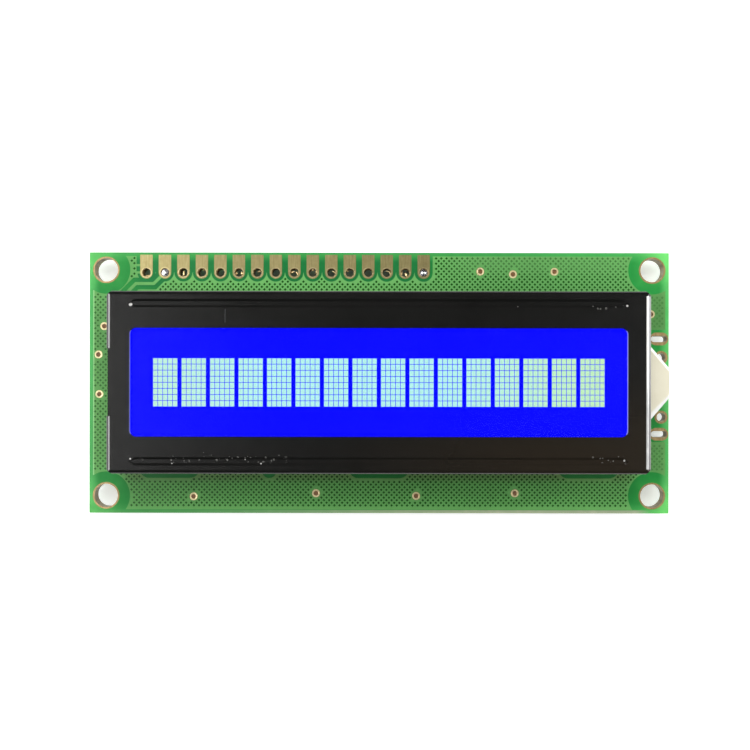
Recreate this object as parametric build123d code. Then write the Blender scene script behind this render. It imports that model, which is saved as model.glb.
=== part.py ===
from build123d import *
import os

# A one-line character display module, face up. The origin is the centre of the mounting-hole
# pattern on the circuit board's rear face, +X along the display line and +Z out of the screen.

# Characters and their dots
character_count = 16
dot_columns = 5
dot_rows = 8
dot_width = 0.57
dot_height = 0.72
dot_gap = 0.08
character_gap = 0.57

# Window, glass panel and films
window_side_margin = 2.665
window_top_margin = 3.89
window_corner_radius = 0.8
polarizer_overlap = 1.0
polarizer_thickness = 0.2
glass_thickness = 1.1
glass_end_margin = 2.1
glass_top_margin = 1.65
contact_ledge = 2.5
cell_gap = 0.06
electrode_thickness = 0.02
seal_width = 1.0
seal_edge_inset = 0.3
fill_port_width = 2.4
port_plug_reach = 0.5

# Backlight
guide_thickness = 3.5
case_wall = 0.6
case_fit = 0.05
case_end_inset = 0.2
case_neck_width = 10.2
case_tip_width = 4.25
case_neck_reach = 0.7
case_slope_reach = 2.55
case_edge_chamfer = 0.4
diffuser_thickness = 0.1
reflector_thickness = 0.1
tape_thickness = 0.2
film_inset = 0.4
led_depth = 1.1
led_width = 3.2
led_height = 2.4
led_corner_radius = 0.3
lead_width = 0.44
lead_spacing = 2.2
lead_tail = 0.9
lead_clearance = 0.1
solder_radius = 0.8
solder_height = 0.7

# Rubber connectors between the glass ledges and the board
zebra_width = 2.0
zebra_core_width = 0.8
zebra_gap = 0.2

# Bezel, a folded and pressed steel sheet
sheet = 0.4
bend_inner_radius = 0.2
panel_clearance = 0.04
side_clearance = 0.6
ledge_clearance = 0.3
corner_relief = 0.7
bead_width = 1.1
bead_floor_width = 0.5
bead_point = 0.8
bead_edge_inset = 1.65
bead_end_inset = 3.0
left_cutout_width = 8.8
left_ledge_inset = 0.3
right_cutout_gap = 0.15
tab_width = 2.0
tab_end_inset = 6.6
tab_reach = 1.5
tab_twist = 45.0
tab_twist_steps = 4
slot_side_clearance = 0.4
slot_thickness_clearance = 0.2
wall_lift = 0.1
foot_overlap = 0.4

# Circuit board
board_side_margin = 4.4
board_top_margin = 6.0
board_thickness = 1.6
copper = 0.035
mount_side_distance = 2.3
mount_top_distance = 2.4
mount_hole_radius = 1.6
mount_ring_width = 0.23

# Header holes along the top edge
header_count = 16
header_pitch = 2.54
header_left_distance = 7.8
header_top_distance = 2.75
header_hole_radius = 0.6
header_pad_width = 1.7
header_pad_edge_gap = 0.32

# Spare backlight slots and holes at the right edge
spare_slot_length = 2.2
spare_slot_width = 0.85
spare_slot_end_ring = 0.18
spare_slot_side_ring = 0.45
spare_hole_radius = 0.6
spare_hole_ring = 0.3
spare_slot_edge_distance = 1.35
spare_hole_edge_distance = 1.05
spare_slots_y = (6.1, -7.0)
spare_holes_y = (3.55, -4.65)

# Copper pour and tracks on the front
pour_edge_gap = 0.5
pour_mount_clearance = 3.3
pour_pad_clearance = 0.4
pour_first_pad_clearance = 0.52
pour_tab_clear_length = 8.4
pour_tab_clear_depth = 1.4
pour_locator_x = -15.1
pour_locator_radius = 1.0
pour_locator_depth = 0.4
pour_under_bezel = 0.9
spare_clear_top = 7.35
spare_clear_bottom = -8.05
track_width = 0.4
track_clearance = 0.62
track_below_holes = 1.53
track_past_first_pad = 1.45
tie_width = 0.3
tie_offsets = (0.0, 1.0)

# Parts on the rear face
blob_radius = 6.6
blob_height = 1.15
blob_x = 15.5
blob_y = -1.2
rear_track_width = 0.25
rear_fan_pitch = 0.8
rear_fan_stub = 1.3
rear_supply_width = 0.5
rear_feed_above_tabs = 1.2
rear_feed_gap = 0.9
rear_feed_beside_tab = 2.4
rear_feed_under_bezel = 0.6
chip_length = 2.0
chip_width = 1.25
chip_height = 0.5
chip_terminal = 0.4
chip_land_length = 0.9
chip_pitch = 2.1
capacitor_height = 0.9
bias_resistor_count = 5
bias_row_y = -8.2
capacitor_from_feed = 3.6
capacitor_y = 2.4
backlight_resistor_from_feed = 5.1
backlight_resistor_y = -6.0
oscillator_resistor_x = -28.0
oscillator_resistor_y = -1.2

# Sizes that follow
character_width = dot_columns * (dot_width + dot_gap) - dot_gap
character_height = dot_rows * (dot_height + dot_gap) - dot_gap
character_pitch = character_width + character_gap
line_length = character_count * character_pitch - character_gap
window_length = line_length + 2 * window_side_margin
window_width = character_height + 2 * window_top_margin
glass_length = window_length + 2 * glass_end_margin
rear_glass_width = window_width + 2 * glass_top_margin
front_glass_width = rear_glass_width + 2 * contact_ledge
bezel_length = glass_length + 2 * (side_clearance + sheet)
bezel_width = front_glass_width + 2 * (ledge_clearance + sheet)
board_length = bezel_length + 2 * board_side_margin
board_width = bezel_width + 2 * board_top_margin
board_right = board_length / 2
board_top_edge = board_width / 2

# Heights, from the board's front face up
front = board_thickness
reflector_z = front + tape_thickness
case_z = reflector_z + reflector_thickness
diffuser_z = case_z + guide_thickness
rear_polarizer_z = diffuser_z + diffuser_thickness
rear_glass_z = rear_polarizer_z + polarizer_thickness
cell_z = rear_glass_z + glass_thickness
front_glass_z = cell_z + cell_gap
front_polarizer_z = front_glass_z + glass_thickness
plate_z = front_polarizer_z + polarizer_thickness + panel_clearance
bezel_top = plate_z + sheet
bead_depth = polarizer_thickness

# Places that follow
mount_x = board_right - mount_side_distance
mount_y = board_top_edge - mount_top_distance
mount_places = [(x, y) for x in (-mount_x, mount_x) for y in (-mount_y, mount_y)]
header_y = board_top_edge - header_top_distance
header_start = header_left_distance - board_right
header_places = [(header_start + i * header_pitch, header_y) for i in range(header_count)]
header_pad_reach = header_top_distance - header_pad_edge_gap
tab_x = bezel_length / 2 - tab_end_inset
tab_y = (bezel_width - sheet) / 2
tab_places = [(x, side * tab_y) for side in (1, -1) for x in (-tab_x, 0.0, tab_x)]
feed_x = tab_x - rear_feed_beside_tab
backlight_resistor_x = feed_x + backlight_resistor_from_feed
capacitor_x = feed_x + capacitor_from_feed
zebra_y = rear_glass_width / 2 + zebra_gap + zebra_width / 2
case_end = glass_length / 2 + side_clearance / 2
case_start = -glass_length / 2 + case_end_inset
case_width = rear_glass_width
case_slope_rise = (case_neck_width - case_tip_width) / 2
tip_x = bezel_length / 2 + case_neck_reach + case_slope_reach
led_x = tip_x - case_wall - case_fit - led_depth / 2
lead_places = [(led_x, -lead_spacing / 2), (led_x, lead_spacing / 2)]
lead_hole_radius = lead_width / 2**0.5 + lead_clearance
spare_slot_places = [(board_right - spare_slot_edge_distance, y) for y in spare_slots_y]
spare_hole_places = [(board_right - spare_hole_edge_distance, y) for y in spare_holes_y]


def slab(length, width, bottom, top):
    block = Box(length, width, top - bottom, align=(Align.CENTER, Align.CENTER, Align.MIN))
    return Pos(0, 0, bottom) * block


def prism(sketch, bottom, top):
    return extrude(Pos(0, 0, bottom) * sketch, amount=top - bottom, dir=(0, 0, 1))


def span(x_low, x_high, y_low, y_high):
    centre = Pos((x_low + x_high) / 2, (y_low + y_high) / 2)
    return centre * Rectangle(x_high - x_low, y_high - y_low)


def at_places(places, shape):
    return [Pos(x, y) * shape for x, y in places]


def eyelet(opening, rim):
    # Front land, plated wall and rear land of one hole as a single plain eyelet
    return prism(rim - opening, -copper, front + copper)


def mount_rim():
    return Circle(mount_hole_radius + mount_ring_width)


def spare_hole_rim():
    return Circle(spare_hole_radius + spare_hole_ring)


def spare_slot_rim():
    length = spare_slot_length + 2 * spare_slot_end_ring
    return SlotOverall(length, spare_slot_width + 2 * spare_slot_side_ring)


def header_pad_outline():
    tail = span(-header_pad_width / 2, header_pad_width / 2, 0, header_pad_reach)
    return Circle(header_pad_width / 2) + tail


def header_pad():
    land = header_pad_outline() - Circle(header_hole_radius)
    return prism(land, front, front + copper)


def circuit_board():
    tab_slot = Rectangle(tab_width + 2 * slot_side_clearance, sheet + 2 * slot_thickness_clearance)
    openings = at_places(mount_places, mount_rim())
    openings += at_places(header_places, Circle(header_hole_radius))
    openings += at_places(lead_places, Circle(lead_hole_radius))
    openings += at_places(spare_hole_places, spare_hole_rim())
    openings += at_places(spare_slot_places, spare_slot_rim())
    openings += at_places(tab_places, tab_slot)
    outline = Rectangle(board_length, board_width)
    for opening in openings:
        outline -= opening
    return prism(outline, 0, front)


def pad_two_route():
    # The track leaves pad 2 at 45 degrees, runs left below pad 1 and dives under the bezel
    x_pad, y_pad = header_places[1]
    x_turn = header_start - track_past_first_pad
    y_run = header_y - track_below_holes
    dive = y_run - (bezel_width / 2 - pour_under_bezel)
    return Polyline(
        (x_pad, y_pad),
        (x_pad - track_below_holes, y_run),
        (x_turn, y_run),
        (x_turn - dive, y_run - dive),
    )


def ground_pour():
    half_pad = header_pad_width / 2
    pad_ring = half_pad + pour_pad_clearance
    first_x = header_places[0][0]
    last_x = header_places[-1][0]
    pour = Rectangle(board_length - 2 * pour_edge_gap, board_width - 2 * pour_edge_gap)
    for spot in at_places(mount_places, Circle(pour_mount_clearance)):
        pour -= spot
    pour -= span(
        first_x - half_pad - pour_first_pad_clearance,
        last_x + pad_ring,
        header_y,
        board_top_edge,
    )
    for spot in at_places(header_places, Circle(pad_ring)):
        pour -= spot
    pour -= trace(pad_two_route(), line_width=track_width + 2 * track_clearance)
    inner_x = bezel_length / 2 - pour_under_bezel
    inner_y = bezel_width / 2 - pour_under_bezel
    pour -= Rectangle(2 * inner_x, 2 * inner_y)
    pour -= span(inner_x, board_right, spare_clear_bottom, spare_clear_top)
    tab_clear = SlotOverall(pour_tab_clear_length, 2 * pour_tab_clear_depth)
    for spot in at_places([(x, -tab_y) for x in (-tab_x, 0.0, tab_x)], tab_clear):
        pour -= spot
    locator_y = -tab_y - pour_locator_depth
    pour -= Pos(pour_locator_x, locator_y) * Circle(pour_locator_radius)
    top_tab_clear = Rectangle(pour_tab_clear_length, sheet + 2 * pour_pad_clearance)
    for spot in at_places([(x, tab_y) for x in (-tab_x, 0.0, tab_x)], top_tab_clear):
        pour -= spot
    return prism(pour, front, front + copper)


def front_tracks():
    # The track from pad 2, and the short ties that join pad 1 to the pour beside it
    pad_two = prism(header_pad_outline(), front, front + copper)
    route = prism(trace(pad_two_route(), line_width=track_width), front, front + copper)
    route -= Pos(*header_places[1]) * pad_two
    pad_edge = header_start - header_pad_width / 2
    ties = [
        prism(
            span(
                pad_edge - pour_first_pad_clearance,
                pad_edge,
                header_y + offset - tie_width / 2,
                header_y + offset + tie_width / 2,
            ),
            front,
            front + copper,
        )
        for offset in tie_offsets
    ]
    return [route] + ties


def fan_tracks():
    # From the signal holes in to the controller, each ending at the rim of its epoxy blob
    fan = header_places[2:-2]
    middle = (len(fan) - 1) / 2
    routes = []
    for i, (x_pad, y_pad) in enumerate(fan):
        shift = (i - middle) * rear_fan_pitch
        y_rim = blob_y + (blob_radius**2 - shift**2) ** 0.5 + rear_track_width
        routes.append([
            (x_pad, y_pad),
            (x_pad, y_pad - rear_fan_stub),
            (shift - blob_x, y_rim + rear_fan_stub),
            (shift - blob_x, y_rim),
        ])
    return routes


def backlight_tracks():
    # The last two header holes feed the lamp: one through its resistors, one direct
    x_feed, y_pad = header_places[-2]
    x_return = header_places[-1][0]
    y_feed = tab_y + rear_feed_above_tabs
    y_return = y_feed + rear_feed_gap
    x_right = bezel_length / 2 - rear_feed_under_bezel
    y_low = backlight_resistor_y
    y_high = y_low + chip_pitch
    land = chip_length / 2 + chip_land_length - chip_terminal
    x_left_land = backlight_resistor_x - land
    x_right_land = backlight_resistor_x + land
    lead_low, lead_high = lead_places
    drop = y_pad - y_feed
    rise = y_pad - y_return
    bend = x_right - x_right_land
    feed = [
        (x_feed, y_pad),
        (x_feed + drop, y_feed),
        (feed_x, y_feed),
        (feed_x, y_low),
        (x_left_land, y_low),
    ]
    bridge = [(feed_x, y_high), (x_left_land, y_high)]
    x_join = x_right_land + rear_supply_width / 2
    joined = [(x_join, y_low), (x_join, y_high), (x_right, y_high + x_right - x_join), lead_low]
    back = [
        (x_return, y_pad),
        (x_return + rise, y_return),
        (x_right - bend, y_return),
        (x_right, y_return - bend),
        (x_right, lead_high[1] + bend),
        lead_high,
    ]
    return [feed, bridge, joined, back]


def rear_tracks():
    copper_lines = [trace(Polyline(*route), line_width=rear_track_width) for route in fan_tracks()]
    feed, bridge, joined, back = [
        trace(Polyline(*route), line_width=rear_supply_width) for route in backlight_tracks()
    ]
    copper_lines += [feed + bridge, joined, back]
    holes = at_places(header_places, Circle(header_hole_radius))
    holes += at_places(lead_places, Circle(solder_radius))
    tracks = []
    for line in copper_lines:
        for hole in holes:
            line -= hole
        tracks.append(prism(line, -copper, 0))
    return tracks


def bead_outline(width):
    half = bezel_length / 2 - bead_end_inset
    shoulder = half - bead_point
    side = width / 2
    return Polygon(
        (-half, 0),
        (-shoulder, -side),
        (shoulder, -side),
        (half, 0),
        (shoulder, side),
        (-shoulder, side),
        align=None,
    )


def bead(surface):
    mouth = Pos(0, 0, surface) * bead_outline(bead_width)
    floor = Pos(0, 0, surface - bead_depth) * bead_outline(bead_floor_width)
    return loft([mouth, floor], ruled=True)


def tongue_corners(step):
    # The tongue's section after each step of the twist, going down
    half_width = tab_width / 2
    half_sheet = sheet / 2
    start = -slot_thickness_clearance / 2
    height = start - (tab_reach + start) * step / tab_twist_steps
    turn = Pos(0, 0, height) * Rot(0, 0, tab_twist * step / tab_twist_steps)
    corners = [
        (half_width, half_sheet),
        (-half_width, half_sheet),
        (-half_width, -half_sheet),
        (half_width, -half_sheet),
    ]
    return [(turn * Pos(x, y)).position for x, y in corners]


def facet(*points):
    return Face(Wire.make_polygon(points))


def twisted_tab():
    # A foot that stands on the board, a straight neck through it, and a tongue turned to lock
    foot_width = tab_width + 2 * (slot_side_clearance + foot_overlap)
    foot = slab(foot_width, sheet, front, front + wall_lift)
    neck = slab(tab_width, sheet, -slot_thickness_clearance / 2, front)
    sections = [tongue_corners(step) for step in range(tab_twist_steps + 1)]
    facets = [facet(*sections[0]), facet(*sections[-1])]
    for upper, lower in zip(sections, sections[1:]):
        for i in range(4):
            j = (i + 1) % 4
            facets.append(facet(upper[i], upper[j], lower[j]))
            facets.append(facet(upper[i], lower[j], lower[i]))
    return foot + neck + Solid(Shell(facets))


def bezel():
    outer_radius = bend_inner_radius + sheet
    wall_bottom = front + wall_lift
    outside = slab(bezel_length, bezel_width, wall_bottom, bezel_top)
    outside = fillet(outside.faces().sort_by(Axis.Z)[-1].edges(), outer_radius)
    inside = slab(bezel_length - 2 * sheet, bezel_width - 2 * sheet, wall_bottom, plate_z)
    inside = fillet(inside.faces().sort_by(Axis.Z)[-1].edges(), bend_inner_radius)
    shell = outside - inside
    opening = RectangleRounded(window_length, window_width, window_corner_radius)
    shell -= prism(opening, plate_z, bezel_top)
    bead_y = bezel_width / 2 - bead_edge_inset
    for side in (-1, 1):
        shell += Pos(0, side * bead_y) * bead(plate_z)
        shell -= Pos(0, side * bead_y) * bead(bezel_top)
    # The left cut-out goes up through the bend and leaves a flat ledge, the right one stops below it
    left = slab(2 * outer_radius, left_cutout_width, wall_bottom, bezel_top)
    shell -= Pos(-bezel_length / 2, 0) * left
    ledge_reach = outer_radius - left_ledge_inset
    ledge = slab(ledge_reach, left_cutout_width, plate_z, bezel_top)
    shell += Pos(left_ledge_inset + ledge_reach / 2 - bezel_length / 2, 0) * ledge
    right_width = case_neck_width + 2 * right_cutout_gap
    right = slab(2 * outer_radius, right_width, wall_bottom, plate_z)
    shell -= Pos(bezel_length / 2, 0) * right
    relief_side = corner_relief * 2**0.5
    relief = Rot(0, 0, 45) * slab(relief_side, relief_side, wall_bottom, bezel_top)
    for x in (-bezel_length / 2, bezel_length / 2):
        for y in (-bezel_width / 2, bezel_width / 2):
            shell -= Pos(x, y) * relief
    tab = twisted_tab()
    for x, y in tab_places:
        shell += Pos(x, y) * tab
    return shell


def polarizer(bottom):
    length = window_length + 2 * polarizer_overlap
    width = window_width + 2 * polarizer_overlap
    return slab(length, width, bottom, bottom + polarizer_thickness)


def seal_outline(inset):
    return Rectangle(glass_length - 2 * inset, rear_glass_width - 2 * inset)


def cell_seal():
    frame = seal_outline(seal_edge_inset) - seal_outline(seal_edge_inset + seal_width)
    port_x = -glass_length / 2 + seal_edge_inset + seal_width / 2
    frame -= Pos(port_x, 0) * Rectangle(2 * seal_width, fill_port_width)
    return prism(frame, cell_z, front_glass_z)


def port_plug():
    inner = seal_edge_inset + seal_width
    x_low = -glass_length / 2 - port_plug_reach
    half_port = fill_port_width / 2
    in_port = span(-glass_length / 2, inner - glass_length / 2, -half_port, half_port)
    bead_on_edge = Pos(-glass_length / 2, 0) * Circle(half_port)
    bead_on_edge &= span(x_low, -glass_length / 2, -fill_port_width, fill_port_width)
    half_glass = glass_thickness / 2
    cap = prism(bead_on_edge, cell_z - half_glass, front_glass_z + half_glass)
    return cap + prism(in_port, cell_z, front_glass_z)


def liquid_crystal():
    inner = seal_outline(seal_edge_inset + seal_width)
    return prism(inner, cell_z + electrode_thickness, front_glass_z - electrode_thickness)


def row_electrodes():
    top_row = (character_height - dot_height) / 2
    strip = slab(line_length, dot_height, cell_z, cell_z + electrode_thickness)
    return [Pos(0, top_row - i * (dot_height + dot_gap)) * strip for i in range(dot_rows)]


def column_electrodes():
    first = -(line_length - dot_width) / 2
    strip = slab(dot_width, character_height, front_glass_z - electrode_thickness, front_glass_z)
    return [
        Pos(first + c * character_pitch + i * (dot_width + dot_gap), 0) * strip
        for c in range(character_count)
        for i in range(dot_columns)
    ]


def case_outline(inset, end_inset):
    # The tray's plan: a rectangle, a neck through the bezel's cut-out and a tapered tip
    slant = (case_slope_reach**2 + case_slope_rise**2) ** 0.5
    half_neck = case_neck_width / 2 - inset
    x_end = tip_x - end_inset
    x_slope = tip_x - case_slope_reach + inset * (case_slope_reach - slant) / case_slope_rise
    half_end = case_tip_width / 2 + (case_slope_rise * end_inset - slant * inset) / case_slope_reach
    body = span(case_start + inset, case_end - inset, inset - case_width / 2, case_width / 2 - inset)
    head = Polygon(
        (0, -half_neck),
        (x_slope, -half_neck),
        (x_end, -half_end),
        (x_end, half_end),
        (x_slope, half_neck),
        (0, half_neck),
        align=None,
    )
    return body + head


def backlight_case():
    case = prism(case_outline(0.0, 0.0), case_z, diffuser_z)
    tip_top = case.edges().filter_by(lambda e: e.center().X > case_end + case_fit)
    tip_top = tip_top.filter_by(lambda e: e.center().Z > diffuser_z - case_fit)
    slanted = tip_top.filter_by(lambda e: abs(e.tangent_at(0.5).X * e.tangent_at(0.5).Y) > 0.1)
    case = chamfer(slanted, case_edge_chamfer)
    pocket = case_outline(case_wall, case_wall)
    case -= prism(pocket, case_z, diffuser_z - case_wall)
    open_top = case_outline(case_wall, case_wall)
    open_top &= span(case_start, case_end - case_wall, -case_width, case_width)
    return case - prism(open_top, case_z, diffuser_z)


def light_guide():
    inset = case_wall + case_fit
    led_room = led_depth + 2 * case_fit
    outline = case_outline(inset, inset + led_room)
    body = outline & span(case_start, case_end - inset, -case_width, case_width)
    guide = prism(outline, case_z, diffuser_z - inset)
    return guide + prism(body, case_z, diffuser_z)


def backlight_led():
    package = RectangleRounded(led_depth, led_width, led_corner_radius)
    top = diffuser_z - case_wall - case_fit
    return Pos(led_x, 0) * prism(package, top - led_height, top)


def led_lead():
    top = diffuser_z - case_wall - case_fit - led_height
    return slab(lead_width, lead_width, -lead_tail, top)


def led_solder():
    # A cone of solder round the lead on the board's rear face
    cone = Cone(lead_width, solder_radius, solder_height, align=(Align.CENTER, Align.CENTER, Align.MAX))
    return cone - led_lead()


def film(bottom, thickness):
    length = case_end - case_start - 2 * film_inset
    sheet_shape = slab(length, case_width - 2 * film_inset, bottom, bottom + thickness)
    return Pos((case_end + case_start) / 2, 0) * sheet_shape


def zebra_strip(side):
    # Insulating silicone on both sides of a banded core, as one strip
    length = glass_length - 2 * seal_width
    strip = slab(length, zebra_width, front, front_glass_z)
    edge = zebra_core_width / 2
    groove_width = (zebra_width - zebra_core_width) / 2
    groove = slab(length, groove_width, front_glass_z - electrode_thickness, front_glass_z)
    for way in (-1, 1):
        strip -= Pos(0, way * (edge + groove_width / 2)) * groove
    return Pos(0, side * zebra_y) * strip


def epoxy_blob(x):
    # A poured drop: steep at the rim, nearly flat on top
    profile = Polygon(
        (0, 0),
        (blob_radius, 0),
        (blob_radius * 0.88, -blob_height * 0.6),
        (blob_radius * 0.5, -blob_height),
        (0, -blob_height),
        align=None,
    )
    return Pos(x, blob_y) * revolve(Plane.XZ * profile, axis=Axis.Z)


def chip_body(height):
    return slab(chip_length - 2 * chip_terminal, chip_width, -height - copper, -copper)


def chip_ends(height):
    cap = slab(chip_terminal, chip_width, -height - copper, -copper)
    shift = (chip_length - chip_terminal) / 2
    return [Pos(shift, 0) * cap, Pos(-shift, 0) * cap]


def chip_joints(height):
    # The land under each end cap and the solder wedge against its end face
    wedge_reach = chip_land_length - chip_terminal
    end = chip_length / 2
    section = Polygon(
        (end - chip_terminal, 0),
        (end + wedge_reach, 0),
        (end + wedge_reach, -copper),
        (end, -copper - height * 0.8),
        (end, -copper),
        (end - chip_terminal, -copper),
        align=None,
    )
    joint = extrude(Plane.XZ * section, amount=chip_width / 2, both=True)
    return [joint, Rot(0, 0, 180) * joint]


def placed(pieces, places):
    return [Pos(x, y) * Rot(0, 0, turn) * piece for x, y, turn in places for piece in pieces]


bias_places = [
    ((i - (bias_resistor_count - 1) / 2) * chip_pitch, bias_row_y, 90)
    for i in range(bias_resistor_count)
]
oscillator_places = [(oscillator_resistor_x, oscillator_resistor_y, 90)]
backlight_places = [(backlight_resistor_x, backlight_resistor_y + i * chip_pitch, 0) for i in (0, 1)]
resistor_places = bias_places + oscillator_places + backlight_places
capacitor_places = [(capacitor_x, capacitor_y + i * chip_pitch, 0) for i in (0, 1)]

pieces = {
    "circuit_board": [circuit_board()],
    "ground_pour": [ground_pour()],
    "front_tracks": front_tracks(),
    "rear_tracks": rear_tracks(),
    "header_pads": at_places(header_places, header_pad()),
    "mounting_hole_rings": at_places(mount_places, eyelet(Circle(mount_hole_radius), mount_rim())),
    "spare_backlight_slots": at_places(
        spare_slot_places, eyelet(SlotOverall(spare_slot_length, spare_slot_width), spare_slot_rim())
    ),
    "spare_backlight_holes": at_places(
        spare_hole_places, eyelet(Circle(spare_hole_radius), spare_hole_rim())
    ),
    "bezel": [bezel()],
    "front_polarizer": [polarizer(front_polarizer_z)],
    "front_glass": [slab(glass_length, front_glass_width, front_glass_z, front_polarizer_z)],
    "column_electrodes": column_electrodes(),
    "liquid_crystal": [liquid_crystal()],
    "row_electrodes": row_electrodes(),
    "cell_seal": [cell_seal()],
    "fill_port_plug": [port_plug()],
    "rear_glass": [slab(glass_length, rear_glass_width, rear_glass_z, cell_z)],
    "rear_polarizer": [polarizer(rear_polarizer_z)],
    "diffuser_film": [film(diffuser_z, diffuser_thickness)],
    "light_guide": [light_guide()],
    "backlight_case": [backlight_case()],
    "reflector_film": [film(reflector_z, reflector_thickness)],
    "mounting_tape": [film(front, tape_thickness)],
    "backlight_led": [backlight_led()],
    "led_leads": at_places(lead_places, led_lead()),
    "led_solder": at_places(lead_places, led_solder()),
    "zebra_strip_upper": [zebra_strip(1)],
    "zebra_strip_lower": [zebra_strip(-1)],
    "controller_blob": [epoxy_blob(-blob_x)],
    "driver_blob": [epoxy_blob(blob_x)],
    "resistor_bodies": placed([chip_body(chip_height)], resistor_places),
    "resistor_ends": placed(chip_ends(chip_height), resistor_places),
    "resistor_solder": placed(chip_joints(chip_height), resistor_places),
    "capacitor_bodies": placed([chip_body(capacitor_height)], capacitor_places),
    "capacitor_ends": placed(chip_ends(capacitor_height), capacitor_places),
    "capacitor_solder": placed(chip_joints(capacitor_height), capacitor_places),
}

os.makedirs("parts", exist_ok=True)
for node, shapes in pieces.items():
    solids = [solid for shape in shapes for solid in shape.solids()]
    part = solids[0] if len(solids) == 1 else Compound(children=solids)
    export_step(part, f"parts/{node}.step")
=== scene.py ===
import bpy
import math
import numpy as np
import random
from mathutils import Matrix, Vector, geometry


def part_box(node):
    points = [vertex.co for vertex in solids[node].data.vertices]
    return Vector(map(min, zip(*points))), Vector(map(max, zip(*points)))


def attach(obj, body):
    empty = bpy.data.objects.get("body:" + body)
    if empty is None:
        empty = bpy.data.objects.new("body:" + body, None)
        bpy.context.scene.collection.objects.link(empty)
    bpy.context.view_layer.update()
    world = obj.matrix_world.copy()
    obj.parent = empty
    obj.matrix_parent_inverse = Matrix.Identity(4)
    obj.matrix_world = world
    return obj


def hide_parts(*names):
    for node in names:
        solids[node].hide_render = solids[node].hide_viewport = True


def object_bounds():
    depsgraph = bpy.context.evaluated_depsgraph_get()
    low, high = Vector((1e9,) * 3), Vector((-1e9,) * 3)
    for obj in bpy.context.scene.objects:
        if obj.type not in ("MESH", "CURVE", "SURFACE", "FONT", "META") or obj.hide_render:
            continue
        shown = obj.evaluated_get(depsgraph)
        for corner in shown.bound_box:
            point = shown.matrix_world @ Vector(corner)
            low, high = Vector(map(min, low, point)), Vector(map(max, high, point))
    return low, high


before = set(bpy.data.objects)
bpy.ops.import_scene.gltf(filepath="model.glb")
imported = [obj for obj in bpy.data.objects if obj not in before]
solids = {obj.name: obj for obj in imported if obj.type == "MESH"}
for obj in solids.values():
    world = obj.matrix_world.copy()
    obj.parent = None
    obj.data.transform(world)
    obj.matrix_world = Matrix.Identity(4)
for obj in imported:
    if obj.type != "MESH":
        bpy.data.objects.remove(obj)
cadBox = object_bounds()
mm = 0.001


# Helpers for colours, shader nodes and meshes

def paint(red, green, blue):
    # a screen colour from 0 to 255 as Blender's linear colour
    steps = [value / 255 for value in (red, green, blue)]
    return [s / 12.92 if s <= 0.04045 else ((s + 0.055) / 1.055) ** 2.4 for s in steps] + [1.0]


def addNode(tree, kind, feeds=None, **settings):
    node = tree.nodes.new(kind)
    for key, value in settings.items():
        setattr(node, key, value)
    for socket, value in (feeds or {}).items():
        if isinstance(value, bpy.types.NodeSocket):
            tree.links.new(value, node.inputs[socket])
        else:
            node.inputs[socket].default_value = value
    return node


def calc(tree, operation, *values, clamp=False):
    feeds = dict(enumerate(values))
    return addNode(tree, "ShaderNodeMath", feeds, operation=operation, use_clamp=clamp).outputs[0]


def times(tree, first, *others):
    # the product of all the values
    for value in others:
        first = calc(tree, "MULTIPLY", first, value)
    return first


def gapTo(tree, value, centre):
    return calc(tree, "ABSOLUTE", calc(tree, "SUBTRACT", value, centre))


def ramp(tree, value, low, high, toLow=0.0, toHigh=1.0):
    # a smooth step from toLow to toHigh while value goes from low to high
    feeds = {0: value, 1: low, 2: high, 3: toLow, 4: toHigh}
    node = addNode(tree, "ShaderNodeMapRange", feeds, interpolation_type="SMOOTHSTEP")
    return node.outputs[0]


def slide(tree, value, steps):
    # a ramp written as two places in millimetres and the values at them
    low, high, toLow, toHigh = steps
    return ramp(tree, value, low * mm, high * mm, toLow, toHigh)


def blendColour(tree, factor, first, second, how="MIX"):
    feeds = {0: factor, 6: first, 7: second}
    node = addNode(tree, "ShaderNodeMix", feeds, data_type="RGBA", blend_type=how)
    return node.outputs[2]


def place(tree):
    # the surface point in the object's own frame, split into X, Y and Z
    coordinates = addNode(tree, "ShaderNodeTexCoord").outputs["Object"]
    return coordinates, addNode(tree, "ShaderNodeSeparateXYZ", {0: coordinates}).outputs


def newMaterial(name, **values):
    material = bpy.data.materials.new(name)
    material.use_nodes = True
    tree = material.node_tree
    tree.nodes.clear()
    shader = addNode(tree, "ShaderNodeBsdfPrincipled", values)
    addNode(tree, "ShaderNodeOutputMaterial", {0: shader.outputs[0]})
    return material, tree, shader


def feed(tree, shader, socket, value):
    tree.links.new(value, shader.inputs[socket])


def bumpFrom(tree, shader, height, strength, distance):
    feeds = {"Height": height, "Strength": strength, "Distance": distance}
    bump = addNode(tree, "ShaderNodeBump", feeds)
    feed(tree, shader, "Normal", bump.outputs["Normal"])


def newGroup(name, inputs, outputs):
    group = bpy.data.node_groups.new(name, "ShaderNodeTree")
    for label, value in inputs.items():
        socket = group.interface.new_socket(label, in_out="INPUT", socket_type="NodeSocketFloat")
        socket.default_value = value
    for label in outputs:
        group.interface.new_socket(label, in_out="OUTPUT", socket_type="NodeSocketFloat")
    entry = group.nodes.new("NodeGroupInput")
    leave = group.nodes.new("NodeGroupOutput")
    return group, entry.outputs, leave.inputs


def useGroup(tree, group, **values):
    node = addNode(tree, "ShaderNodeGroup", node_tree=group)
    for label, value in values.items():
        if isinstance(value, bpy.types.NodeSocket):
            tree.links.new(value, node.inputs[label])
        else:
            node.inputs[label].default_value = value
    return node.outputs


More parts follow.
